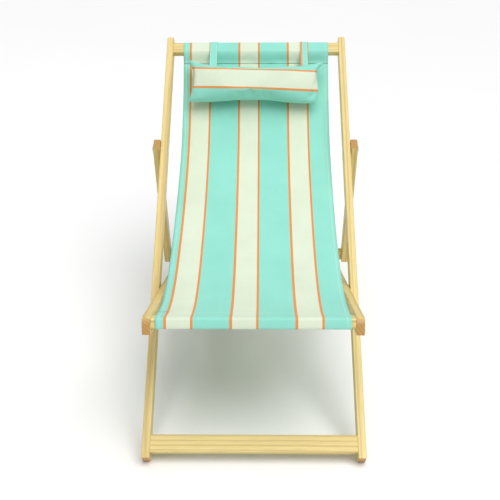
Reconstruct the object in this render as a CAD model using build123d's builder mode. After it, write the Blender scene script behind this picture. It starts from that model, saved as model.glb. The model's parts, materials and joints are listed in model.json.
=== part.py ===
from build123d import *
import os
from math import cos, sin, tan, radians, atan2, sqrt

os.makedirs("parts", exist_ok=True)

# Folding deck chair: a reclining back frame, a seat frame nested inside it, a prop
# frame outside it, and a striped fabric sling hung between two bars.
# X is across the chair, +Y is towards its rear, +Z is up, and the floor is Z = 0.

# ---- timber sizes (mm) ----
OUTER_W = 580.0            # across the prop frame, the widest frame
RAIL_T = 20.0              # thickness of every long rail
RAIL_D = 40.0              # depth of every long rail
GAP = 1.5                  # washer gap between two nested frames
EDGE_R = 2.5               # eased long edges
HALF_D = RAIL_D / 2

# ---- back frame ----
BACK_SLOPE = 34.5          # degrees above the floor
BACK_LEN = 1284.0
SEAT_PIVOT_S = 438.0       # foot to the seat frame pivot, along the rail
PROP_PIVOT_S = 890.0       # foot to the prop frame pivot, along the rail
FOOT_R = 5.0               # rounded lower corner that meets the floor
TOP_BAR_S = 1247.0
TOP_BAR_N = 8.0            # bar centre in front of the rail centre line
FOOT_BOARD_S = 35.5
FOOT_BOARD_W = 43.0
FOOT_BOARD_N = 10.0

# ---- seat frame ----
SEAT_SLOPE = 19.6          # degrees below horizontal, falling to the rear
SEAT_FRONT = 375.0         # pivot to the front end
NOSE_R = 18.0              # rounded upper front corner
HEEL_R = 12.0              # rounded lower rear corner
FRONT_BAR_B = -354.0
FRONT_BAR_N = 6.0
FRONT_BAR_T = 24.0
REAR_BAR_B = 700.0
REAR_BAR_N = -10.0         # low in the rail, so it stays behind the sling when folded

# ---- prop frame ----
PROP_LEN = 436.0           # pivot to the lower end
PROP_TOP = 20.0            # pivot to the upper end
PROP_BOARD_W = 33.0
NOTCH_SINK = 5.7           # lower end of the prop centre line below the seat rail's top edge
NOTCH_PITCH = 48.0
NOTCH_RAMP = 22.0          # degrees, rear slope of each notch
NOTCH_WALL = 50.0          # degrees, front slope of each notch
NOTCH_CLEAR = 0.3

# ---- bars and boards ----
BAR_W = 38.0
BAR_T = 20.0
BAR_R = 5.0
BOARD_T = 18.0
END_FIT = 0.02             # hairline joint at every bar end
PROP_BOARD_R = 1.0
OVERCUT = 1.0              # every cut runs this far past the face it opens

# ---- fasteners ----
SCREW_R = 2.2
SCREW_LEN = 48.0
SCREW_HEAD_R = 4.4
SCREW_HEAD_H = 2.8
SCREW_SPREAD = 10.0
SCREW_FIT = 0.05
BOLT_R = 4.0
BOLT_FIT = 0.05
BOLT_HEAD_R = 9.5
BOLT_HEAD_H = 3.2
THIN_HEAD_H = 1.2          # low head of the seat pivot bolt, inside the prop frame
HEAD_ROUND = 2.0
NUT_R = 8.0
NUT_H = 5.0
NUT_CAP = 1.0              # closed end of the cap nut
WASHER_R = 11.0
WASHER_FIT = 0.15

# ---- fabric ----
SLING_W = 435.0
CLOTH_T = 1.2
CLOTH_GAP = 0.4
BACK_SAG = ((1180.0, -12.0), (1128.0, -34.0), (1050.0, -49.0), (942.0, -55.0),
            (805.0, -31.0), (649.0, 19.0), (545.0, 64.0))
SEAT_SAG = ((-46.0, 94.0), (-128.0, 58.0), (-232.0, 28.0))
PILLOW_W = 386.0
PILLOW_L = 124.0
PILLOW_T = 76.0
PILLOW_S = 1118.0
PILLOW_N = 8.0
PILLOW_TILT = 17.0
PILLOW_R = 30.0
TAB_W = 20.0
TAB_GAP = 2.4              # between the headrest's upper edge and its tabs
TAB_X = (-126.0, 150.0)

# ---- frame planes across the chair ----
PROP_X = OUTER_W / 2 - RAIL_T / 2
BACK_X = PROP_X - RAIL_T - GAP
SEAT_X = BACK_X - RAIL_T - GAP
BACK_IN = BACK_X - RAIL_T / 2
SEAT_IN = SEAT_X - RAIL_T / 2
PROP_IN = PROP_X - RAIL_T / 2

# ---- side-view directions and pivots ----
back_a = radians(BACK_SLOPE)
seat_a = radians(SEAT_SLOPE)
fold_a = back_a + seat_a
foot_y = -BACK_LEN / 2 * cos(back_a)
foot_z = FOOT_R - FOOT_R * sin(back_a) + (HALF_D - FOOT_R) * cos(back_a)


def side(origin, angle, s, n):
    """Point at s along and n above a member that runs at the given angle."""
    y = origin[0] + s * cos(angle) - n * sin(angle)
    z = origin[1] + s * sin(angle) + n * cos(angle)
    return (y, z)


def on_back(s, n):
    return side((foot_y, foot_z), back_a, s, n)


SEAT_PIVOT = on_back(SEAT_PIVOT_S, 0)
PROP_PIVOT = on_back(PROP_PIVOT_S, 0)


def on_seat(b, n):
    return side(SEAT_PIVOT, -seat_a, b, n)


# the lower end of the prop sits in a notch of the seat rail
arm = PROP_PIVOT_S - SEAT_PIVOT_S
rise = arm * sin(fold_a) - (HALF_D - NOTCH_SINK)
reach = sqrt(PROP_LEN ** 2 - rise ** 2)
prop_to_seat = atan2(rise, reach)
NOTCH_B = arm * cos(fold_a) + reach
prop_a = -(seat_a + prop_to_seat)


def on_prop(t, w):
    return side(PROP_PIVOT, prop_a, t, w)


# the seat rail ends where its rounded lower corner touches the floor
heel_drop = SEAT_PIVOT[1] - (HALF_D - HEEL_R) * cos(seat_a) - HEEL_R
SEAT_REAR = HEEL_R + heel_drop / sin(seat_a)


def member(origin, angle, s, n, x):
    """Plane at a point of a member: local X along it, local Y towards its upper face."""
    y, z = side(origin, angle, s, n)
    return Plane(origin=(x, y, z), x_dir=(0, cos(angle), sin(angle)), z_dir=(1, 0, 0))


def back_plane(s, n, x=0.0):
    return member((foot_y, foot_z), back_a, s, n, x)


def seat_plane(b, n, x=0.0):
    return member(SEAT_PIVOT, -seat_a, b, n, x)


def prop_plane(t, w, x=0.0):
    return member(PROP_PIVOT, prop_a, t, w, x)


def bore(plane_fn, s, x, r):
    """Cut a round hole of radius r across a rail."""
    with Locations(plane_fn(s, 0, x)):
        Cylinder(r, RAIL_T + 2 * OVERCUT, mode=Mode.SUBTRACT)


def screw_at(plane_fn, s, n, face, grow, mode):
    """Countersunk screw along X, its head flush with the outer face at x = face."""
    out = 1 if face > 0 else -1
    head_mid = face - out * SCREW_HEAD_H / 2
    shank_mid = face - out * (SCREW_HEAD_H + (SCREW_LEN - SCREW_HEAD_H) / 2)
    small = SCREW_R + grow
    big = SCREW_HEAD_R + grow
    with Locations(plane_fn(s, n, head_mid)):
        if out > 0:
            Cone(small, big, SCREW_HEAD_H, mode=mode)
        else:
            Cone(big, small, SCREW_HEAD_H, mode=mode)
    with Locations(plane_fn(s, n, shank_mid)):
        Cylinder(small, SCREW_LEN - SCREW_HEAD_H, mode=mode)


def screw_pair(plane_fn, s, n, face, grow, mode):
    for step in (-SCREW_SPREAD, SCREW_SPREAD):
        screw_at(plane_fn, s + step, n, face, grow, mode)


def rail_body(plane_fn, start, end, x):
    """Straight square-edged rail from one end to the other."""
    with Locations(plane_fn((start + end) / 2, 0, x)):
        Box(end - start, RAIL_D, RAIL_T)


def round_corner(rail, plane_fn, s, n, r):
    """Round the cross edge of a rail at the given corner of its side view."""
    corner = plane_fn(s, n).origin
    near = [e for e in rail.edges().filter_by(Axis.X)
            if abs(e.center().Y - corner.Y) + abs(e.center().Z - corner.Z) < EDGE_R / 2]
    fillet(near, r)


def ease(rail):
    """Ease the outline edges of both side faces of a rail."""
    for end in (0, -1):
        face = rail.faces().sort_by(Axis.X)[end]
        fillet(face.outer_wire().edges(), EDGE_R)


def finish(part, name):
    part.label = name
    export_step(part, "parts/" + name + ".step")


def back_rail(rail, hand):
    x = hand * BACK_X
    rail_body(back_plane, 0, BACK_LEN, x)
    round_corner(rail, back_plane, 0, -HALF_D, FOOT_R)
    ease(rail)
    bore(back_plane, SEAT_PIVOT_S, x, BOLT_R + BOLT_FIT)
    bore(back_plane, PROP_PIVOT_S, x, BOLT_R + BOLT_FIT)
    with Locations(back_plane(PROP_PIVOT_S, 0, hand * (BACK_IN + NUT_H / 2))):
        Cylinder(NUT_R + BOLT_FIT, NUT_H, mode=Mode.SUBTRACT)
    face = hand * (BACK_X + RAIL_T / 2)
    screw_pair(back_plane, TOP_BAR_S, TOP_BAR_N, face, SCREW_FIT, Mode.SUBTRACT)
    screw_pair(back_plane, FOOT_BOARD_S, FOOT_BOARD_N, face, SCREW_FIT, Mode.SUBTRACT)


with BuildPart() as back_rail_left:
    back_rail(back_rail_left, -1)
finish(back_rail_left.part, "back_rail_left")

with BuildPart() as back_rail_right:
    back_rail(back_rail_right, 1)
finish(back_rail_right.part, "back_rail_right")


def flat_bar(board, plane_fn, s, n, width, thick, span, r):
    """Board between two rails, its long edges rounded."""
    with Locations(plane_fn(s, n)):
        Box(width, thick, 2 * (span - END_FIT))
    fillet(board.edges().filter_by(Axis.X), r)


def bar_holes(plane_fn, s, n, face):
    for hand in (-1, 1):
        screw_pair(plane_fn, s, n, hand * face, SCREW_FIT, Mode.SUBTRACT)


BACK_FACE = BACK_X + RAIL_T / 2
SEAT_FACE = SEAT_X + RAIL_T / 2
PROP_FACE = PROP_X + RAIL_T / 2

with BuildPart() as top_bar:
    flat_bar(top_bar, back_plane, TOP_BAR_S, TOP_BAR_N, BAR_W, BAR_T, BACK_IN, BAR_R)
    bar_holes(back_plane, TOP_BAR_S, TOP_BAR_N, BACK_FACE)
finish(top_bar.part, "top_bar")

with BuildPart() as foot_board:
    flat_bar(foot_board, back_plane, FOOT_BOARD_S, FOOT_BOARD_N, FOOT_BOARD_W, BOARD_T,
             BACK_IN, EDGE_R)
    bar_holes(back_plane, FOOT_BOARD_S, FOOT_BOARD_N, BACK_FACE)
finish(foot_board.part, "foot_board")

with BuildPart() as top_bar_screws:
    for hand in (-1, 1):
        screw_pair(back_plane, TOP_BAR_S, TOP_BAR_N, hand * BACK_FACE, 0, Mode.ADD)
finish(top_bar_screws.part, "top_bar_screws")

with BuildPart() as foot_board_screws:
    for hand in (-1, 1):
        screw_pair(back_plane, FOOT_BOARD_S, FOOT_BOARD_N, hand * BACK_FACE, 0, Mode.ADD)
finish(foot_board_screws.part, "foot_board_screws")


def seat_rail(rail, hand):
    x = hand * SEAT_X
    rail_body(seat_plane, -SEAT_FRONT, SEAT_REAR, x)
    round_corner(rail, seat_plane, -SEAT_FRONT, HALF_D, NOSE_R)
    round_corner(rail, seat_plane, -SEAT_FRONT, -HALF_D, EDGE_R)
    round_corner(rail, seat_plane, SEAT_REAR, -HALF_D, HEEL_R)
    ease(rail)
    for step in (-NOTCH_PITCH, 0, NOTCH_PITCH):
        notch(step, x)
    bore(seat_plane, 0, x, BOLT_R + BOLT_FIT)
    face = hand * SEAT_FACE
    screw_pair(seat_plane, FRONT_BAR_B, FRONT_BAR_N, face, SCREW_FIT, Mode.SUBTRACT)
    screw_pair(seat_plane, REAR_BAR_B, REAR_BAR_N, face, SCREW_FIT, Mode.SUBTRACT)


def notch(step, x):
    """Saw-tooth notch in the upper edge: steep in front, a gentle ramp behind."""
    corner_b = NOTCH_B - BOARD_T / 2 * sin(prop_to_seat) + step
    corner_n = HALF_D - NOTCH_SINK - BOARD_T / 2 * cos(prop_to_seat) - NOTCH_CLEAR
    depth = HALF_D - corner_n
    wall_b = corner_b - NOTCH_CLEAR
    front = wall_b - (depth + OVERCUT) / tan(radians(NOTCH_WALL))
    rear = corner_b + (depth + OVERCUT) / tan(radians(NOTCH_RAMP))
    with BuildSketch(seat_plane(0, 0, x)) as profile:
        with BuildLine():
            Polyline((front, HALF_D + OVERCUT), (wall_b, corner_n), (corner_b, corner_n),
                     (rear, HALF_D + OVERCUT), close=True)
        make_face()
    extrude(profile.sketch, amount=RAIL_T, both=True, mode=Mode.SUBTRACT)


with BuildPart() as seat_rail_left:
    seat_rail(seat_rail_left, -1)
finish(seat_rail_left.part, "seat_rail_left")

with BuildPart() as seat_rail_right:
    seat_rail(seat_rail_right, 1)
finish(seat_rail_right.part, "seat_rail_right")

with BuildPart() as front_bar:
    flat_bar(front_bar, seat_plane, FRONT_BAR_B, FRONT_BAR_N, BAR_W, FRONT_BAR_T, SEAT_IN,
             BAR_R)
    bar_holes(seat_plane, FRONT_BAR_B, FRONT_BAR_N, SEAT_FACE)
finish(front_bar.part, "front_bar")

with BuildPart() as rear_bar:
    flat_bar(rear_bar, seat_plane, REAR_BAR_B, REAR_BAR_N, BAR_W, BOARD_T, SEAT_IN, EDGE_R)
    bar_holes(seat_plane, REAR_BAR_B, REAR_BAR_N, SEAT_FACE)
finish(rear_bar.part, "rear_bar")

with BuildPart() as front_bar_screws:
    for hand in (-1, 1):
        screw_pair(seat_plane, FRONT_BAR_B, FRONT_BAR_N, hand * SEAT_FACE, 0, Mode.ADD)
finish(front_bar_screws.part, "front_bar_screws")

with BuildPart() as rear_bar_screws:
    for hand in (-1, 1):
        screw_pair(seat_plane, REAR_BAR_B, REAR_BAR_N, hand * SEAT_FACE, 0, Mode.ADD)
finish(rear_bar_screws.part, "rear_bar_screws")

PROP_BOARD_T0 = PROP_LEN - PROP_BOARD_W / 2


def prop_rail(rail, hand):
    x = hand * PROP_X
    rail_body(prop_plane, -PROP_TOP, PROP_LEN, x)
    ease(rail)
    bore(prop_plane, 0, x, BOLT_R + BOLT_FIT)
    screw_pair(prop_plane, PROP_BOARD_T0, 0, hand * PROP_FACE, SCREW_FIT, Mode.SUBTRACT)


with BuildPart() as prop_rail_left:
    prop_rail(prop_rail_left, -1)
finish(prop_rail_left.part, "prop_rail_left")

with BuildPart() as prop_rail_right:
    prop_rail(prop_rail_right, 1)
finish(prop_rail_right.part, "prop_rail_right")

with BuildPart() as prop_board:
    flat_bar(prop_board, prop_plane, PROP_BOARD_T0, 0, PROP_BOARD_W, BOARD_T, PROP_IN,
             PROP_BOARD_R)
    bar_holes(prop_plane, PROP_BOARD_T0, 0, PROP_FACE)
finish(prop_board.part, "prop_board")

with BuildPart() as prop_board_screws:
    for hand in (-1, 1):
        screw_pair(prop_plane, PROP_BOARD_T0, 0, hand * PROP_FACE, 0, Mode.ADD)
finish(prop_board_screws.part, "prop_board_screws")


def disc(s, x_low, x_high, r, mode=Mode.ADD):
    """Round piece along X between two distances from the chair's centre line, both sides."""
    for hand in (-1, 1):
        with Locations(back_plane(s, 0, hand * (x_low + x_high) / 2)):
            Cylinder(r, x_high - x_low, mode=mode)


NUT_IN = SEAT_IN - NUT_H
PROP_NUT_OUT = BACK_IN + NUT_H

with BuildPart() as seat_pivot_bolts:
    disc(SEAT_PIVOT_S, NUT_IN + NUT_CAP, BACK_FACE, BOLT_R)
    disc(SEAT_PIVOT_S, BACK_FACE, BACK_FACE + THIN_HEAD_H, BOLT_HEAD_R)
finish(seat_pivot_bolts.part, "seat_pivot_bolts")

with BuildPart() as seat_pivot_nuts:
    disc(SEAT_PIVOT_S, NUT_IN, SEAT_IN - WASHER_FIT, NUT_R)
    disc(SEAT_PIVOT_S, NUT_IN + NUT_CAP, SEAT_IN, BOLT_R + BOLT_FIT, Mode.SUBTRACT)
    fillet(seat_pivot_nuts.edges().filter_by(GeomType.CIRCLE)
           .filter_by(lambda e: abs(abs(e.center().X) - NUT_IN) < 0.01), HEAD_ROUND)
finish(seat_pivot_nuts.part, "seat_pivot_nuts")

with BuildPart() as seat_pivot_washers:
    disc(SEAT_PIVOT_S, SEAT_FACE + WASHER_FIT, BACK_IN, WASHER_R)
    disc(SEAT_PIVOT_S, SEAT_FACE, BACK_IN, BOLT_R + BOLT_FIT, Mode.SUBTRACT)
finish(seat_pivot_washers.part, "seat_pivot_washers")

with BuildPart() as prop_pivot_bolts:
    disc(PROP_PIVOT_S, BACK_IN, PROP_FACE + WASHER_FIT, BOLT_R)
    disc(PROP_PIVOT_S, PROP_FACE + WASHER_FIT, PROP_FACE + BOLT_HEAD_H, BOLT_HEAD_R)
    fillet(prop_pivot_bolts.edges().filter_by(GeomType.CIRCLE)
           .filter_by(lambda e: abs(abs(e.center().X) - PROP_FACE - BOLT_HEAD_H) < 0.01), HEAD_ROUND)
finish(prop_pivot_bolts.part, "prop_pivot_bolts")

with BuildPart() as prop_pivot_nuts:
    disc(PROP_PIVOT_S, BACK_IN, PROP_NUT_OUT, NUT_R)
    disc(PROP_PIVOT_S, BACK_IN, PROP_NUT_OUT, BOLT_R + BOLT_FIT, Mode.SUBTRACT)
finish(prop_pivot_nuts.part, "prop_pivot_nuts")

with BuildPart() as prop_pivot_washers:
    disc(PROP_PIVOT_S, BACK_FACE, PROP_IN - WASHER_FIT, WASHER_R)
    disc(PROP_PIVOT_S, BACK_FACE, PROP_IN, BOLT_R + BOLT_FIT, Mode.SUBTRACT)
finish(prop_pivot_washers.part, "prop_pivot_washers")


def sleeve(plane_fn, s, n, width, thick, span, inner):
    """Fabric tube around a bar, leaving the given gap inside."""
    with BuildSketch(plane_fn(s, n)) as ring:
        RectangleRounded(width + 2 * (inner + CLOTH_T), thick + 2 * (inner + CLOTH_T),
                         BAR_R + inner + CLOTH_T)
        RectangleRounded(width + 2 * inner, thick + 2 * inner, BAR_R + inner,
                         mode=Mode.SUBTRACT)
    extrude(ring.sketch, amount=span, both=True)


with BuildPart() as top_sleeve:
    sleeve(back_plane, TOP_BAR_S, TOP_BAR_N, BAR_W, BAR_T, SLING_W / 2, CLOTH_GAP)
finish(top_sleeve.part, "top_sleeve")

with BuildPart() as front_sleeve:
    sleeve(seat_plane, FRONT_BAR_B, FRONT_BAR_N, BAR_W, FRONT_BAR_T, SLING_W / 2, CLOTH_GAP)
finish(front_sleeve.part, "front_sleeve")


def sling_line():
    """Hanging line of the sling from the top sleeve to the front sleeve, in side view."""
    skin = CLOTH_GAP + CLOTH_T
    top = on_back(TOP_BAR_S - BAR_W / 2 - skin - CLOTH_T, TOP_BAR_N - 2)
    end_n = FRONT_BAR_N + FRONT_BAR_T / 2
    end = on_seat(FRONT_BAR_B + BAR_W / 2 + skin + CLOTH_GAP, end_n - BAR_R)
    return [top] + [on_back(s, n) for s, n in BACK_SAG] + \
        [on_seat(b, n) for b, n in SEAT_SAG] + [end]


def thicken(line, t):
    """Second line a distance t below a line of points."""
    out = []
    last = len(line) - 1
    for i, (y, z) in enumerate(line):
        y0, z0 = line[max(i - 1, 0)]
        y1, z1 = line[min(i + 1, last)]
        size = sqrt((y1 - y0) ** 2 + (z1 - z0) ** 2)
        out.append((y + (z0 - z1) * t / size, z + (y1 - y0) * t / size))
    return out


with BuildPart() as sling:
    upper = sling_line()
    lower = thicken(upper, CLOTH_T)
    with BuildSketch(Plane.YZ):
        with BuildLine():
            Spline(*upper)
            Line(upper[-1], lower[-1])
            Spline(*reversed(lower))
            Line(lower[0], upper[0])
        make_face()
    extrude(amount=SLING_W / 2, both=True)
finish(sling.part, "sling")

with BuildPart() as pillow:
    tilt = back_a + radians(PILLOW_TILT)
    with Locations(member(on_back(PILLOW_S, PILLOW_N), tilt, 0, 0, 0)):
        Box(PILLOW_L, PILLOW_T, PILLOW_W)
    fillet(pillow.edges(), PILLOW_R)
finish(pillow.part, "pillow")

TAB_LOW = PILLOW_S + PILLOW_L / 2 * cos(radians(PILLOW_TILT)) + TAB_GAP

with BuildPart() as pillow_tabs:
    wrap = 2 * CLOTH_GAP + CLOTH_T
    tab_n = TOP_BAR_N + BAR_T / 2 + wrap + CLOTH_T / 2
    for tab_x in TAB_X:
        with BuildSketch(back_plane(TOP_BAR_S, TOP_BAR_N, tab_x)):
            RectangleRounded(BAR_W + 2 * (wrap + CLOTH_T), BAR_T + 2 * (wrap + CLOTH_T),
                             BAR_R + wrap + CLOTH_T)
            RectangleRounded(BAR_W + 2 * wrap, BAR_T + 2 * wrap, BAR_R + wrap,
                             mode=Mode.SUBTRACT)
        extrude(amount=TAB_W / 2, both=True)
        with Locations(back_plane(TOP_BAR_S - BAR_W / 2, TOP_BAR_N, tab_x)):
            Box(BAR_W / 2, BAR_T + 4 * wrap, TAB_W + 2 * OVERCUT, mode=Mode.SUBTRACT)
        with Locations(back_plane((TAB_LOW + TOP_BAR_S) / 2, tab_n, tab_x)):
            Box(TOP_BAR_S - TAB_LOW, CLOTH_T, TAB_W)
finish(pillow_tabs.part, "pillow_tabs")
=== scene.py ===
import json
import math
import bmesh
import bpy
from mathutils import Matrix, Vector


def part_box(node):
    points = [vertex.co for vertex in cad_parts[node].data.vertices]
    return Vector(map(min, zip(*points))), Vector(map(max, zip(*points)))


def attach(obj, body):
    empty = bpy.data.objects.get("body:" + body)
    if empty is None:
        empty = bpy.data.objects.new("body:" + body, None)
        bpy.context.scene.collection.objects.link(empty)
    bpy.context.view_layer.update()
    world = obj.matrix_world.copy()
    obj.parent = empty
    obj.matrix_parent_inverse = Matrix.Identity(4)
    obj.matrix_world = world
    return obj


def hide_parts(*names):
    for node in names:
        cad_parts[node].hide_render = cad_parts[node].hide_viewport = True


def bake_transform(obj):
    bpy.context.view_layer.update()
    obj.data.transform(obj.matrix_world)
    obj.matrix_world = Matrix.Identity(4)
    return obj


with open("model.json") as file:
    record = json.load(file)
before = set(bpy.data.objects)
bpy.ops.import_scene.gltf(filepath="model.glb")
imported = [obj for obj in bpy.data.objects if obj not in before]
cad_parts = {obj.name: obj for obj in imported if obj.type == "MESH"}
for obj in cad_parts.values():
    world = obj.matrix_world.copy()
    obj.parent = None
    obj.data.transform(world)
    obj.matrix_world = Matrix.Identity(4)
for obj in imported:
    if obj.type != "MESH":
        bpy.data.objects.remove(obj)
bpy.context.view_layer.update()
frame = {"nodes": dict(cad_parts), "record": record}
MM = 0.001
NODES = frame["nodes"]
JOINTS = {j["name"]: j for j in frame["record"]["behaviour"]["joints"]}

# ---------------------------------------------------------------- frame directions
SEAT_PIVOT = Vector(JOINTS["frame_fold"]["pos_m"])
PROP_PIVOT = Vector(JOINTS["prop_fold"]["pos_m"])
SEAT_SLOPE = math.radians(19.6)


def turned(v, angle):
    """Direction v turned about +X."""
    return Matrix.Rotation(angle, 3, "X") @ v


def middle(node):
    """Centre of a CAD node's box."""
    low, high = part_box(node)
    return (low + high) / 2


UP_BACK = (PROP_PIVOT - SEAT_PIVOT).normalized()
BACK_FACE = turned(UP_BACK, math.pi / 2)
ALONG_SEAT = Vector((0, math.cos(SEAT_SLOPE), -math.sin(SEAT_SLOPE)))
SEAT_FACE = turned(ALONG_SEAT, math.pi / 2)


def coords(point, along, face):
    """Where a point lies along and above a frame, measured from the seat pivot."""
    rel = Vector((0, point.y, point.z)) - Vector((0, SEAT_PIVOT.y, SEAT_PIVOT.z))
    return rel.dot(along), rel.dot(face)


def back(s, n):
    """Point s up the back frame from the seat pivot and n in front of its centre line."""
    return SEAT_PIVOT + UP_BACK * s + BACK_FACE * n


def seat(b, n):
    """Point b rearwards along the seat frame from its pivot and n above its centre line."""
    return SEAT_PIVOT + ALONG_SEAT * b + SEAT_FACE * n


TOP_S, TOP_N = coords(middle("top_bar"), UP_BACK, BACK_FACE)
FRONT_B, FRONT_N = coords(middle("front_bar"), ALONG_SEAT, SEAT_FACE)
SLING_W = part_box("sling")[1].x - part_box("sling")[0].x
BAR_HALF = 19 * MM
TOP_HALF_T = 10 * MM
FRONT_HALF_T = 12 * MM

# ---------------------------------------------------------------- colours
MINT = (0.30, 0.745, 0.625, 1)
CREAM = (0.735, 0.82, 0.645, 1)
ORANGE = (0.80, 0.30, 0.08, 1)
PINE_LIGHT = (0.80, 0.65, 0.265, 1)
PINE_MID = (0.71, 0.535, 0.185, 1)
PINE_LINE = (0.58, 0.385, 0.115, 1)
PINE_DARK = (0.60, 0.34, 0.12, 1)
END_GRAIN = (0.46, 0.24, 0.07, 1)


# ---------------------------------------------------------------- node helpers
class Nodes:
    """Small helper that adds and links shader nodes."""

    def __init__(self, name):
        self.mat = bpy.data.materials.new(name)
        self.mat.use_nodes = True
        self.tree = self.mat.node_tree
        self.bsdf = self.tree.nodes["Principled BSDF"]

    def add(self, kind, **props):
        node = self.tree.nodes.new(kind)
        for key, value in props.items():
            setattr(node, key, value)
        return node

    def link(self, source, target):
        self.tree.links.new(source, target)

    def math(self, operation, a, b=None):
        node = self.add("ShaderNodeMath", operation=operation)
        for socket, value in zip(node.inputs, (a, b)):
            if value is None:
                continue
            if isinstance(value, (int, float)):
                socket.default_value = value
            else:
                self.link(value, socket)
        return node.outputs[0]

    def ramp(self, fac, stops, interpolation="LINEAR"):
        node = self.add("ShaderNodeValToRGB")
        node.color_ramp.interpolation = interpolation
        elements = node.color_ramp.elements
        while len(elements) < len(stops):
            elements.new(0.5)
        for element, (pos, colour) in zip(elements, stops):
            element.position = pos
            element.color = colour
        self.link(fac, node.inputs[0])
        return node.outputs[0]

    def noise(self, vector, scale, detail=3.0, rough=0.5, distortion=0.0):
        node = self.add("ShaderNodeTexNoise")
        self.link(vector, node.inputs["Vector"])
        node.inputs["Scale"].default_value = scale
        node.inputs["Detail"].default_value = detail
        node.inputs["Roughness"].default_value = rough
        node.inputs["Distortion"].default_value = distortion
        return node.outputs["Fac"]

    def mix(self, fac, a, b, blend="MIX"):
        node = self.add("ShaderNodeMix", data_type="RGBA", blend_type=blend)
        for socket, value in ((node.inputs[0], fac), (node.inputs[6], a), (node.inputs[7], b)):
            if isinstance(value, (int, float, tuple)):
                socket.default_value = value
            else:
                self.link(value, socket)
        return node.outputs[2]

    def bump(self, height, strength, distance, normal=None):
        node = self.add("ShaderNodeBump")
        node.inputs["Strength"].default_value = strength
        node.inputs["Distance"].default_value = distance
        self.link(height, node.inputs["Height"])
        if normal is not None:
            self.link(normal, node.inputs["Normal"])
        return node.outputs["Normal"]


# ---------------------------------------------------------------- materials
def pine(name, grain, seed):
    """Oiled pine whose grain runs along the direction `grain`, with darker end grain."""
    n = Nodes(name)
    tex = n.add("ShaderNodeTexCoord")
    turn = n.add("ShaderNodeMapping")
    angle = math.atan2(grain.z, grain.y)
    across = abs(grain.x) > 0.5
    turn.inputs["Rotation"].default_value = (0 if across else -angle, 0, 0)
    turn.inputs["Location"].default_value = (seed * 0.37, seed * 0.61, seed * 0.23)
    n.link(tex.outputs["Object"], turn.inputs["Vector"])
    squeeze = n.add("ShaderNodeMapping")
    squeeze.inputs["Scale"].default_value = (0.05, 1, 1) if across else (1, 0.05, 1)
    n.link(turn.outputs[0], squeeze.inputs["Vector"])
    flow = squeeze.outputs[0]
    broad = n.noise(flow, 22, 3, 0.55, 0.6)
    rings = n.add("ShaderNodeTexWave", wave_type="RINGS", rings_direction="Y", wave_profile="SIN")
    if across:
        rings.rings_direction = "X"
    rings.inputs["Scale"].default_value = 26
    rings.inputs["Distortion"].default_value = 5.0
    rings.inputs["Detail"].default_value = 2.5
    rings.inputs["Detail Scale"].default_value = 0.8
    n.link(flow, rings.inputs["Vector"])
    fibre = n.noise(flow, 420, 2, 0.6)
    tone = n.ramp(broad, [(0.25, PINE_MID), (0.7, PINE_LIGHT)])
    lines = n.ramp(rings.outputs["Fac"], [(0.0, (0, 0, 0, 1)), (0.62, (0, 0, 0, 1)),
                                          (1.0, (1, 1, 1, 1))])
    base = n.mix(n.math("MULTIPLY", lines, 0.7), tone, PINE_LINE)
    fine = n.ramp(fibre, [(0.3, (0.86, 0.84, 0.80, 1)), (0.62, (1, 1, 1, 1))])
    base = n.mix(0.8, base, fine, "MULTIPLY")
    # knots, a few per rail
    cell = n.add("ShaderNodeTexVoronoi", feature="F1")
    cell.inputs["Scale"].default_value = 5.0
    loose = n.add("ShaderNodeMapping")
    loose.inputs["Scale"].default_value = (0.45, 1, 1) if across else (1, 0.45, 1)
    n.link(turn.outputs[0], loose.inputs["Vector"])
    n.link(loose.outputs[0], cell.inputs["Vector"])
    knot = n.ramp(cell.outputs["Distance"], [(0.015, (1, 1, 1, 1)), (0.045, (0, 0, 0, 1))])
    base = n.mix(n.math("MULTIPLY", knot, 0.75), base, PINE_DARK)
    # end grain faces look along the grain
    facing = n.add("ShaderNodeVectorMath", operation="DOT_PRODUCT")
    n.link(tex.outputs["Normal"], facing.inputs[0])
    facing.inputs[1].default_value = grain
    end = n.ramp(n.math("ABSOLUTE", facing.outputs["Value"]),
                 [(0.45, (0, 0, 0, 1)), (0.8, (1, 1, 1, 1))])
    growth = n.add("ShaderNodeTexWave", wave_type="RINGS", rings_direction="SPHERICAL")
    growth.inputs["Scale"].default_value = 60
    growth.inputs["Distortion"].default_value = 3
    n.link(turn.outputs[0], growth.inputs["Vector"])
    ends = n.ramp(growth.outputs["Fac"], [(0.0, END_GRAIN), (1.0, PINE_MID)])
    base = n.mix(end, base, n.mix(0.7, ends, END_GRAIN))
    n.link(base, n.bsdf.inputs["Base Color"])
    rough = n.ramp(broad, [(0.3, (0.5, 0.5, 0.5, 1)), (0.75, (0.36, 0.36, 0.36, 1))])
    n.link(rough, n.bsdf.inputs["Roughness"])
    relief = n.bump(rings.outputs["Fac"], 0.25, 0.0006)
    n.link(n.bump(fibre, 0.35, 0.0004, relief), n.bsdf.inputs["Normal"])
    n.bsdf.inputs["Coat Weight"].default_value = 0.12
    n.bsdf.inputs["Coat Roughness"].default_value = 0.35
    return n.mat


def steel(name):
    """Zinc plated steel with fine marks."""
    n = Nodes(name)
    tex = n.add("ShaderNodeTexCoord")
    grit = n.noise(tex.outputs["Object"], 900, 3, 0.6)
    patch = n.noise(tex.outputs["Object"], 130, 3, 0.6)
    n.link(n.ramp(patch, [(0.3, (0.60, 0.60, 0.58, 1)), (0.7, (0.78, 0.78, 0.77, 1))]),
           n.bsdf.inputs["Base Color"])
    n.link(n.ramp(grit, [(0.3, (0.24, 0.24, 0.24, 1)), (0.7, (0.42, 0.42, 0.42, 1))]),
           n.bsdf.inputs["Roughness"])
    n.bsdf.inputs["Metallic"].default_value = 1.0
    n.link(n.bump(grit, 0.15, 0.0002), n.bsdf.inputs["Normal"])
    return n.mat


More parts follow.
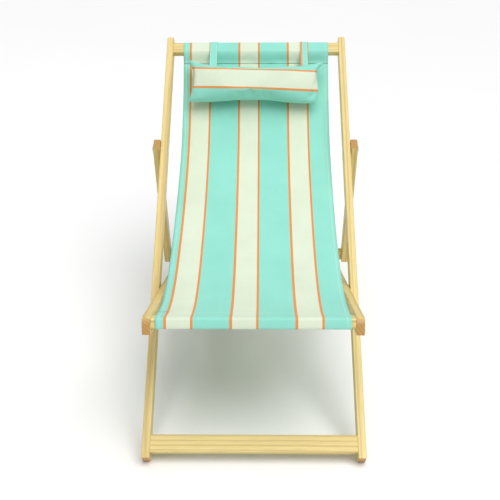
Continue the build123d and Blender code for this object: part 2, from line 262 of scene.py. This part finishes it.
STRIPES = ((6 * MM, ORANGE), (53 * MM, CREAM), (6 * MM, ORANGE), (81 * MM, MINT))
THREAD_PITCH = 1.1 * MM
STITCH_PITCH = 3.6 * MM
STITCH_SHARE = 0.72        # stitched part of each pitch
STITCH_HALF_W = 0.5 * MM
FURROW_HALF_W = 1.2 * MM
THREAD_PALE = (0.93, 0.95, 0.88, 1)
BANDS_BEFORE = 10          # whole repeats added, so that the position is never negative


def woven(name, stripe_axis, first_line, seam_lines=(), bands=STRIPES):
    """Woven acrylic canvas. UVs are in metres; bands repeat along stripe_axis.
    seam_lines are (axis, position) pairs that carry a row of stitches."""
    n = Nodes(name)
    uv = n.add("ShaderNodeUVMap", uv_map="UVMap")
    split = n.add("ShaderNodeSeparateXYZ")
    n.link(uv.outputs[0], split.inputs[0])
    u, v = split.outputs[0], split.outputs[1]
    axis = u if stripe_axis == "u" else v
    repeat = sum(width for width, _ in bands)
    shift = n.math("ADD", axis, BANDS_BEFORE * repeat - first_line)
    place = n.math("FRACT", n.math("DIVIDE", shift, repeat))
    stops, edge = [], 0.0
    for width, shade in bands:
        stops.append((edge / repeat, shade))
        edge += width
    colour = n.ramp(place, stops, "CONSTANT")
    tex = n.add("ShaderNodeTexCoord")
    cloud = n.noise(tex.outputs["Object"], 9, 3, 0.55)
    shade = n.ramp(cloud, [(0.3, (0.93, 0.94, 0.94, 1)), (0.7, (1, 1, 1, 1))])
    colour = n.mix(1.0, colour, shade, "MULTIPLY")
    # plain weave of warp and weft threads, with painted shade darkening the cloth in the low
    # cells between the threads
    thread = 2 * math.pi / THREAD_PITCH
    warp = n.math("SINE", n.math("MULTIPLY", u, thread))
    weft = n.math("SINE", n.math("MULTIPLY", v, thread))
    weave = n.math("ADD", n.math("MULTIPLY", n.math("MULTIPLY", warp, weft), 0.5), 0.5)
    slub = n.noise(uv.outputs[0], 700, 2, 0.5)
    # painted shade: the colour is darkened where the weave height is low, between the threads
    colour = n.mix(0.35, colour, n.ramp(weave, [(0.0, (0.80, 0.82, 0.81, 1)),
                                                (0.6, (1, 1, 1, 1))]), "MULTIPLY")
    height = n.math("ADD", weave, n.math("MULTIPLY", slub, 0.6))
    for which, position in seam_lines:
        along, cross = (v, u) if which == "u" else (u, v)
        near = n.math("LESS_THAN", n.math("ABSOLUTE", n.math("SUBTRACT", cross, position)),
                      STITCH_HALF_W)
        dash = n.math("LESS_THAN", n.math("FRACT", n.math("DIVIDE", along, STITCH_PITCH)),
                      STITCH_SHARE)
        stitch = n.math("MULTIPLY", near, dash)
        colour = n.mix(n.math("MULTIPLY", stitch, 0.55), colour, THREAD_PALE)
        furrow = n.math("LESS_THAN", n.math("ABSOLUTE", n.math("SUBTRACT", cross, position)),
                        FURROW_HALF_W)
        height = n.math("SUBTRACT", height, n.math("MULTIPLY", furrow, 1.2))
        height = n.math("ADD", height, n.math("MULTIPLY", stitch, 1.6))
    n.link(colour, n.bsdf.inputs["Base Color"])
    n.link(n.ramp(slub, [(0.3, (0.78, 0.78, 0.78, 1)), (0.7, (0.92, 0.92, 0.92, 1))]),
           n.bsdf.inputs["Roughness"])
    n.bsdf.inputs["Sheen Weight"].default_value = 0.12
    n.bsdf.inputs["Sheen Roughness"].default_value = 0.5
    n.bsdf.inputs["Specular IOR Level"].default_value = 0.3
    n.link(n.bump(height, 0.35, 0.00035), n.bsdf.inputs["Normal"])
    return n.mat


def paint(node, material):
    """Give a CAD node one material in all its slots."""
    obj = NODES[node]
    if not obj.material_slots:
        obj.data.materials.append(material)
    for slot in obj.material_slots:
        slot.material = material


# ---------------------------------------------------------------- timber and hardware
PROP_ALONG = (middle("prop_board") - Vector((0, PROP_PIVOT.y, PROP_PIVOT.z)))
PROP_ALONG = Vector((0, PROP_ALONG.y, PROP_ALONG.z)).normalized()
SIDEWAYS = Vector((1, 0, 0))
TIMBER = {
    "back_rail_left": UP_BACK, "back_rail_right": UP_BACK,
    "seat_rail_left": ALONG_SEAT, "seat_rail_right": ALONG_SEAT,
    "prop_rail_left": PROP_ALONG, "prop_rail_right": PROP_ALONG,
    "top_bar": SIDEWAYS, "foot_board": SIDEWAYS, "front_bar": SIDEWAYS,
    "rear_bar": SIDEWAYS, "prop_board": SIDEWAYS,
}
for number, (node, grain) in enumerate(TIMBER.items()):
    paint(node, pine("pine_" + node, grain, number + 1))

STEEL = steel("zinc_plate")
for node in ("top_bar_screws", "foot_board_screws", "front_bar_screws", "rear_bar_screws",
             "prop_board_screws", "seat_pivot_bolts", "seat_pivot_nuts",
             "seat_pivot_washers", "prop_pivot_bolts", "prop_pivot_nuts",
             "prop_pivot_washers"):
    paint(node, STEEL)


# ---------------------------------------------------------------- mesh helpers
def shade_smooth(mesh):
    for face in mesh.polygons:
        face.use_smooth = True


def new_object(name, mesh, material):
    obj = bpy.data.objects.new(name, mesh)
    bpy.context.scene.collection.objects.link(obj)
    mesh.materials.append(material)
    shade_smooth(mesh)
    return obj


def apply_modifiers(obj):
    """Replace the object's mesh with its evaluated one."""
    bpy.context.view_layer.update()
    graph = bpy.context.evaluated_depsgraph_get()
    mesh = bpy.data.meshes.new_from_object(obj.evaluated_get(graph))
    old = obj.data
    obj.modifiers.clear()
    obj.data = mesh
    bpy.data.meshes.remove(old)


def run_lengths(points):
    """Distance along a polyline at each of its points."""
    run = [0.0]
    for a, b in zip(points, points[1:]):
        run.append(run[-1] + (b - a).length)
    return run


FINE_STEPS = 24            # samples between two given points of a smooth line
ARC_STEPS = 6


def smooth_line(points, step):
    """Points every `step` metres along a smooth curve through the given points."""
    fine = []
    last = len(points) - 1
    for i in range(last):
        p0 = points[max(i - 1, 0)]
        p1, p2 = points[i], points[i + 1]
        p3 = points[min(i + 2, last)]
        for k in range(FINE_STEPS):
            t = k / FINE_STEPS
            fine.append(0.5 * ((2 * p1) + (p2 - p0) * t + (2 * p0 - 5 * p1 + 4 * p2 - p3) * t * t
                               + (3 * p1 - p0 - 3 * p2 + p3) * t ** 3))
    fine.append(points[-1])
    return even_line(fine, step)


def even_line(points, step):
    """Resample a polyline at an even spacing close to `step`."""
    lengths = run_lengths(points)
    count = max(2, round(lengths[-1] / step))
    out = []
    seg = 0
    for k in range(count + 1):
        want = lengths[-1] * k / count
        while seg < len(points) - 2 and lengths[seg + 1] < want:
            seg += 1
        span = max(lengths[seg + 1] - lengths[seg], 1e-9)
        out.append(points[seg].lerp(points[seg + 1], (want - lengths[seg]) / span))
    return out


def corner_arc(place, s, n, radius, start, end):
    """Arc in side view about a corner centre; place maps (s, n) to a point."""
    out = []
    for k in range(ARC_STEPS + 1):
        a = math.radians(start + (end - start) * k / ARC_STEPS)
        out.append(place(s + radius * math.cos(a), n + radius * math.sin(a)))
    return out


# ---------------------------------------------------------------- sling
CLOTH_T = 1.1 * MM
SKIN = 0.9 * MM            # from a bar's face to the middle of the cloth
BAR_R = 5 * MM
# side view in mm: top hem and back from the seat pivot up the back frame, the rest along
# the seat frame; the second number is the height off that frame's centre line
HEM_W = 11 * MM
PANEL_STEP = 4.5 * MM
SLING_COLUMNS = 100
TOP_HEM = ((765, -4.3), (768.5, -3.5), (772, -2.2), (776.5, 2), (781, 8.2), (787, 14.6))
BACK_SAG = ((768, -4.8), (742, -13.5), (690, -34), (612, -49), (504, -55), (367, -31),
            (211, 19), (107, 64))
SEAT_SAG = ((-46, 94), (-128, 58), (-232, 28))
FRONT_HEM = ((-324, 16), (-306, 18.3))


def line_of(place, points):
    return [place(s * MM, n * MM) for s, n in points]


def bar_corners(place, s0, n0, half_t, turns):
    """Cloth line round a bar: one arc for each (side along, side up, start, end) of turns."""
    out = []
    for along, face, start, end in turns:
        out += corner_arc(place, s0 + along * (BAR_HALF - BAR_R), n0 + face * (half_t - BAR_R),
                          BAR_R + SKIN, start, end)
    return out


def sling_line():
    """Side view of the whole cloth: hem, top bar, hanging panel, front bar, hem.
    Both hems are sewn to the cloth's face. Also gives the panel's first and last index."""
    start = line_of(back, TOP_HEM)
    start += bar_corners(back, TOP_S, TOP_N, TOP_HALF_T,
                         [(-1, 1, 105, 90), (1, 1, 90, 0), (1, -1, 0, -90),
                          (-1, -1, -90, -150)])
    end = bar_corners(seat, FRONT_B, FRONT_N, FRONT_HALF_T,
                      [(1, 1, 40, 90), (-1, 1, 90, 180), (-1, -1, 180, 270),
                       (1, -1, 270, 330)])
    end += line_of(seat, FRONT_HEM)
    panel = smooth_line([start[-1]] + line_of(back, BACK_SAG) + line_of(seat, SEAT_SAG)
                        + [end[0]], PANEL_STEP)
    return start + panel[1:-1] + end, len(start) - 1, len(start) + len(panel) - 2


def sheet_mesh(name, line, width, columns, lift, x0=0.0):
    """Sheet swept across X over a side-view line; UVs are metres across and along.
    lift(x, run) raises the cloth off its line."""
    mesh = bpy.data.meshes.new(name)
    bm = bmesh.new()
    run = run_lengths(line)
    last = len(line) - 1
    rows = []
    for i, p in enumerate(line):
        tangent = (line[min(i + 1, last)] - line[max(i - 1, 0)]).normalized()
        normal = Vector((0, tangent.z, -tangent.y))
        row = []
        for c in range(columns + 1):
            x = -width / 2 + width * c / columns
            row.append(bm.verts.new(p + Vector((x0 + x, 0, 0)) + normal * lift(x, run[i])))
        rows.append(row)
    uv = bm.loops.layers.uv.new("UVMap")
    for i in range(last):
        for c in range(columns):
            corners = ((i, c), (i, c + 1), (i + 1, c + 1), (i + 1, c))
            face = bm.faces.new([rows[r][k] for r, k in corners])
            for loop, (r, k) in zip(face.loops, corners):
                loop[uv].uv = (width * k / columns, run[r])
    bm.to_mesh(mesh)
    bm.free()
    return mesh


def thicken(obj, thickness):
    solid = obj.modifiers.new("thickness", "SOLIDIFY")
    solid.thickness = thickness
    solid.offset = 0
    apply_modifiers(obj)


line, panel_start, panel_end = sling_line()
lengths = run_lengths(line)
TOP_RUN, FRONT_RUN = lengths[panel_start], lengths[panel_end]
HEM_BELLY = 24 * MM         # the loose stretch of the sleeve between its hem and the bar
CURL_HIGH = 1.2 * MM        # the margins stay flat where the rear bar comes when folded
CURL_LOW = 9 * MM
CURL_FROM, CURL_FULL = 0.19, 0.31      # distance below the top bar, in metres
CURL_WIDTH = 0.027
HEM_RAISE = 0.55 * MM
HEM_RAMP = 3 * MM
GATHER = 0.95 * MM
GATHER_FROM, GATHER_EASE = 0.022, 0.03
GATHER_REACH = 0.075
WAVE = 1.1 * MM
BAR_EASE = 0.14            # waves and curl grow over this distance from a bar


def sling_lift(x, run):
    """Hemmed sides, small gathers at both sleeves and slow waves in the hanging cloth."""
    from_edge = SLING_W / 2 - abs(x)
    hem = HEM_RAISE * min(1, max(0, (HEM_W - from_edge) / HEM_RAMP))
    if run <= TOP_RUN:
        belly = math.sin(min(1, run / HEM_BELLY) * math.pi)
        return -belly * (1.4 + 0.7 * math.sin(x * 61) + 0.4 * math.sin(x * 118 + 2)) * MM
    if run >= FRONT_RUN:
        return hem * 0.4
    from_top, from_front = run - TOP_RUN, FRONT_RUN - run
    near = min(from_top, from_front)
    free = min(1, max(0, near - GATHER_FROM) / GATHER_EASE)
    seed = 1.7 if from_top < from_front else 4.1
    gather = (math.sin(x * 92 + seed) + 0.7 * math.sin(x * 151 + 2 * seed)
              + 0.5 * math.sin(x * 233 - seed)) * GATHER
    gather *= math.exp(-near / GATHER_REACH) * free
    slow = WAVE * math.sin(x * 13 + run * 5.2) * math.sin(run * 6.1 + 0.6)
    turn = 1 + 0.35 * math.sin(run * 8.3 + math.copysign(1.1, x))
    share = min(1, max(0, (from_top - CURL_FROM) / (CURL_FULL - CURL_FROM)))
    curl = CURL_HIGH + (CURL_LOW - CURL_HIGH) * share
    edge_curl = -curl * turn * math.exp(-from_edge / CURL_WIDTH)
    return hem + gather + (slow + edge_curl) * min(1, near / BAR_EASE)


mesh = sheet_mesh("sling_cloth", line, SLING_W, SLING_COLUMNS, sling_lift)
FIRST_STRIPE = 18.5 * MM
SIDE_SEAM = 9.0 * MM
HEM_SEAM = 2.2 * MM
FRONT_SEAM = 16 * MM
sling = new_object("sling_cloth", mesh, woven(
    "sling_canvas", "u", FIRST_STRIPE,
    (("u", SIDE_SEAM), ("u", SLING_W - SIDE_SEAM),
     ("v", HEM_SEAM), ("v", FRONT_RUN - FRONT_SEAM))))
thicken(sling, CLOTH_T)
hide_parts("sling", "top_sleeve", "front_sleeve")
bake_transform(sling)

# ---------------------------------------------------------------- headrest
PILLOW_TILT = math.radians(17)
PILLOW_ROLL = math.radians(-0.6)
PILLOW_SHIFT = (-3 * MM, 5 * MM)     # across and up, from the middle of its solid
PILLOW_HALF_W = 200 * MM
PILLOW_HALF_L = 66 * MM
PILLOW_FLAT_T = 50 * MM
PULL_TOP = 0.10            # how far the upper side comes in between the corners
PULL_BOTTOM = -0.09        # the lower side sags out instead
CORNERS = {                # how far each corner is drawn sideways and up
    (1, 1): (12 * MM, 2 * MM),
    (-1, 1): (-4 * MM, 6 * MM),
    (1, -1): (-20 * MM, 0.0),
}
BAND_TILT = 0.02           # the stripes run slightly downhill across the headrest
BAND_CROWN = 0.18          # and follow the crown of the face
LOWER_BAND = -27.5 * MM
SIDE_PULL = 0.03           # how far each short side comes in between the corners
CROWN_ACROSS, CROWN_UP = 5, 2.4        # higher is fuller towards the rim
COLUMNS, ROWS = 96, 30
MAX_PUFF = 15 * MM
SIM_FRAMES = 20
TUCK_DEPTH, TUCK_W, TUCK_L = 0.42, 15 * MM, 26 * MM
END_FOLD, END_FOLD_REACH = 1.5 * MM, 20 * MM
DENT = 1.3 * MM
CREASE_AT = (166 * MM, -46 * MM)
CREASE_DEPTH, CREASE_L, CREASE_W = 6 * MM, 18 * MM, 8 * MM
FACE_EASE = 10 * MM        # folds and dents fade out this far from the seam
TAB_X = (-127 * MM, 144 * MM)
TAB_W = 22 * MM
PILLOW_UP = turned(UP_BACK, PILLOW_TILT)
PILLOW_FACE = turned(PILLOW_UP, math.pi / 2)
PILLOW_MID = middle("pillow") + Vector((PILLOW_SHIFT[0], 0, 0)) + PILLOW_UP * PILLOW_SHIFT[1]
PILLOW_ACROSS = Vector((1, 0, 0)) * math.cos(PILLOW_ROLL) + PILLOW_UP * math.sin(PILLOW_ROLL)
PILLOW_RISE = PILLOW_UP * math.cos(PILLOW_ROLL) - Vector((1, 0, 0)) * math.sin(PILLOW_ROLL)


def pillow_point(x, v, w):
    return PILLOW_MID + PILLOW_ACROSS * x + PILLOW_RISE * v + PILLOW_FACE * w


def pillow_local(p):
    rel = p - PILLOW_MID
    return rel.dot(PILLOW_ACROSS), rel.dot(PILLOW_RISE), rel.dot(PILLOW_FACE)


def cushion_mesh(name, columns, rows):
    """Flat-seamed cushion in its own plane: two crowned faces that meet at a shared edge."""
    mesh = bpy.data.meshes.new(name)
    bm = bmesh.new()
    uv = bm.loops.layers.uv.new("UVMap")
    grid = {}
    for i in range(columns + 1):
        for j in range(rows + 1):
            a, b = 2 * i / columns - 1, 2 * j / rows - 1
            x = PILLOW_HALF_W * a * (1 - SIDE_PULL * (1 - b * b))
            pull = PULL_TOP if b > 0 else PULL_BOTTOM
            v = PILLOW_HALF_L * b * (1 - pull * (1 - a ** 4))
            for (side, end), (out, up) in CORNERS.items():
                share = max(0, side * a) ** 8 * max(0, end * b) ** 3
                x += out * share
                v += up * share
            h = PILLOW_FLAT_T / 2 * math.sqrt(
                (1 - abs(a) ** CROWN_ACROSS) * (1 - abs(b) ** CROWN_UP))
            rim = i in (0, columns) or j in (0, rows)
            front = bm.verts.new(pillow_point(x, v, h))
            grid[i, j, 1] = front
            grid[i, j, -1] = front if rim else bm.verts.new(pillow_point(x, v, -h))
    for i in range(columns):
        for j in range(rows):
            ring = ((i, j), (i + 1, j), (i + 1, j + 1), (i, j + 1))
            for side, order in ((1, ring), (-1, ring[::-1])):
                face = bm.faces.new([grid[p + (side,)] for p in order])
                for loop, (c, r) in zip(face.loops, order):
                    loop[uv].uv = (2 * PILLOW_HALF_W * c / columns,
                                   2 * PILLOW_HALF_L * r / rows)
    bm.to_mesh(mesh)
    bm.free()
    return mesh


def positions(obj):
    return [v.co.copy() for v in obj.data.vertices]


def inflate(obj):
    """Blow the cushion up with the cloth simulation, and keep each point near its start."""
    start = positions(obj)
    cloth = obj.modifiers.new("air", "CLOTH")
    settings = cloth.settings
    settings.quality = 6
    settings.use_pressure = True
    settings.uniform_pressure_force = 4
    settings.effector_weights.gravity = 0
    settings.tension_stiffness = 20
    settings.compression_stiffness = 8
    settings.bending_stiffness = 0.4
    cloth.collision_settings.use_self_collision = False
    for number in range(1, SIM_FRAMES + 1):
        bpy.context.scene.frame_set(number)
    apply_modifiers(obj)
    for vertex, first in zip(obj.data.vertices, start):
        move = vertex.co - first
        if move.length > MAX_PUFF:
            vertex.co = first + move.normalized() * MAX_PUFF


def shape_seams(obj):
    """Tuck the cloth in under each tab, pinch the rim seam and dimple the face a little."""
    for vertex in obj.data.vertices:
        x, v, w = pillow_local(vertex.co)
        flatten = 1.0
        for tab_x in TAB_X:
            along, down = (x - tab_x) / TUCK_W, (PILLOW_HALF_L - v) / TUCK_L
            flatten -= TUCK_DEPTH * math.exp(-along * along - down * down)
        ends = (PILLOW_HALF_W - abs(x)) / END_FOLD_REACH
        fold = END_FOLD * math.sin(v * 190 + x * 30) * math.exp(-ends * ends)
        dent = DENT * math.sin(x * 47 + 0.8) * math.sin(v * 55 + 1.9)
        right, low = x - CREASE_AT[0], v - CREASE_AT[1]
        along, off = (right + low) / CREASE_L, (right - low) / CREASE_W
        dent -= CREASE_DEPTH * math.exp(-along * along - off * off) if w > 0 else 0
        side_sign = math.copysign(1, w)
        vertex.co = pillow_point(x, v, w * flatten + (fold + dent) * side_sign
                                 * min(1, abs(w) / FACE_EASE))


def lean_bands(obj):
    """Let the stripes run slightly downhill and follow the crown of the face."""
    layer = obj.data.uv_layers["UVMap"]
    for loop in obj.data.loops:
        x, _, w = pillow_local(obj.data.vertices[loop.vertex_index].co)
        layer.data[loop.index].uv.y += x * BAND_TILT + abs(w) * BAND_CROWN


def upper_rim(obj, x):
    """The highest point of the headrest within a tab's width of x."""
    beside = [v.co.copy() for v in obj.data.vertices if abs(v.co.x - x) < TAB_W / 2]
    return max(beside, key=lambda p: pillow_local(p)[1])


pillow_cloth = woven("headrest_canvas", "v", PILLOW_HALF_L + LOWER_BAND)
pillow = new_object("headrest", cushion_mesh("headrest", COLUMNS, ROWS), pillow_cloth)
inflate(pillow)
shape_seams(pillow)
refine = pillow.modifiers.new("smooth", "SUBSURF")
refine.levels = refine.render_levels = 1
apply_modifiers(pillow)
lean_bands(pillow)
shade_smooth(pillow.data)
rims = [upper_rim(pillow, x) for x in TAB_X]
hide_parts("pillow")
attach(pillow, "back_frame")

# ---------------------------------------------------------------- headrest tabs
TAB_T = 1.3 * MM
TAB_SKIN = 2.7 * MM        # from a bar's face to the middle of the tab, over the sleeve
TAB_ROOT, TAB_RISE = 6 * MM, 4 * MM    # below and above the headrest's upper rim
TAB_STEP = 3 * MM
TAB_COLUMNS = 10
TAB_CROWN = 0.25 * MM
TAB_SEAM = 2.2 * MM
TAB_BANDS = {
    "left": ((40 * MM, MINT),),
    "right": ((6 * MM, ORANGE), (34 * MM, MINT)),
}


def tab_line(rim):
    """Side view of a tab: out of the headrest's upper seam, over the sleeve, down behind."""
    root = rim - PILLOW_RISE * TAB_ROOT
    seam = rim + PILLOW_RISE * TAB_RISE
    first = [Vector((0, p.y, p.z)) for p in (root, seam)]
    top = corner_arc(back, TOP_S + BAR_HALF - BAR_R, TOP_N + TOP_HALF_T - BAR_R,
                     BAR_R + TAB_SKIN, 90, 0)
    top += corner_arc(back, TOP_S + BAR_HALF - BAR_R, TOP_N - TOP_HALF_T + BAR_R,
                      BAR_R + TAB_SKIN, 0, -90)
    face_n = TOP_N + TOP_HALF_T + TAB_SKIN
    climb = [back(TOP_S - 45 * MM, face_n + 0.5 * MM), back(TOP_S - 15 * MM, face_n)]
    rear = [back(TOP_S - 8 * MM, TOP_N - TOP_HALF_T - TAB_SKIN)]
    return smooth_line(first + climb + [top[0]], TAB_STEP) + top[1:] + rear


def tab_lift(x, _):
    """A slight crown across the tab."""
    return TAB_CROWN * math.cos(x / TAB_W * 2 * math.pi)


for (side, bands), tab_x, rim in zip(TAB_BANDS.items(), TAB_X, rims):
    path = tab_line(rim)
    mesh = sheet_mesh("headrest_tab_" + side, path, TAB_W, TAB_COLUMNS, tab_lift, tab_x)
    tab = new_object("headrest_tab_" + side, mesh, woven(
        "tab_canvas_" + side, "u", 0.0, (("u", TAB_SEAM), ("u", TAB_W - TAB_SEAM)), bands))
    thicken(tab, TAB_T)
    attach(tab, "back_frame")
    if side == "left":
        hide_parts("pillow_tabs")

# ---------------------------------------------------------------- floor, light, camera
def plain(name, colour, rough):
    n = Nodes(name)
    tex = n.add("ShaderNodeTexCoord")
    cloud = n.noise(tex.outputs["Object"], 1.4, 3, 0.5)
    low = tuple(c * 0.985 for c in colour[:3]) + (1,)
    n.link(n.ramp(cloud, [(0.3, low), (0.7, colour)]), n.bsdf.inputs["Base Color"])
    n.bsdf.inputs["Roughness"].default_value = rough
    n.bsdf.inputs["Specular IOR Level"].default_value = 0.1
    return n.mat


FLOOR_HALF = 20.0
floor_mesh = bpy.data.meshes.new("studio_floor")
floor_mesh.from_pydata([(-FLOOR_HALF, -FLOOR_HALF, 0), (FLOOR_HALF, -FLOOR_HALF, 0),
                        (FLOOR_HALF, FLOOR_HALF, 0), (-FLOOR_HALF, FLOOR_HALF, 0)],
                       [], [(0, 1, 2, 3)])
floor = new_object("studio_floor", floor_mesh, plain("studio_white", (0.93, 0.93, 0.93, 1), 0.9))


AIM = (0, 0, 0.35)


def softbox(name, place, size, power, colour):
    data = bpy.data.lights.new(name, "AREA")
    data.shape = "RECTANGLE"
    data.size, data.size_y = size
    data.energy = power
    data.color = colour
    obj = bpy.data.objects.new(name, data)
    bpy.context.scene.collection.objects.link(obj)
    obj.location = place
    obj.rotation_euler = (Vector(AIM) - Vector(place)).to_track_quat("-Z", "Y").to_euler()


softbox("key", (1.5, -1.6, 2.6), (1.4, 1.4), 13, (1.0, 0.985, 0.96))
softbox("rim", (-2.0, 1.4, 2.6), (1.6, 1.6), 7, (0.97, 0.985, 1.0))
sky = bpy.data.lights.new("overhead", "SUN")
sky.energy = 2.25
sky.angle = math.radians(55)
overhead = bpy.data.objects.new("overhead", sky)
bpy.context.scene.collection.objects.link(overhead)
overhead.rotation_euler = (math.radians(16), math.radians(12), 0)
world = bpy.data.worlds.new("studio")
bpy.context.scene.world = world
world.use_nodes = True
background = world.node_tree.nodes["Background"]
background.inputs["Color"].default_value = (1, 1, 1, 1)
background.inputs["Strength"].default_value = 0.36
bpy.context.scene.view_settings.view_transform = "Standard"

SENSOR, LENS = 36, 64.8    # mm
PITCH = math.radians(28)
YAW = math.radians(-0.89)
ROLL = math.radians(-0.37)
EYE = Vector((0.020, -2.1948, 1.4700))
forward = Vector((math.sin(YAW) * math.cos(PITCH), math.cos(YAW) * math.cos(PITCH),
                  -math.sin(PITCH)))
level = Vector((math.cos(YAW), -math.sin(YAW), 0))
rise = level.cross(forward)
right = level * math.cos(ROLL) + rise * math.sin(ROLL)
above = rise * math.cos(ROLL) - level * math.sin(ROLL)
camera_data = bpy.data.cameras.new("camera")
camera_data.sensor_width = SENSOR
camera_data.lens = LENS
camera = bpy.data.objects.new("camera", camera_data)
bpy.context.scene.collection.objects.link(camera)
camera.matrix_world = Matrix((
    (right.x, above.x, -forward.x, EYE.x),
    (right.y, above.y, -forward.y, EYE.y),
    (right.z, above.z, -forward.z, EYE.z),
    (0, 0, 0, 1)))
bpy.context.scene.camera = camera
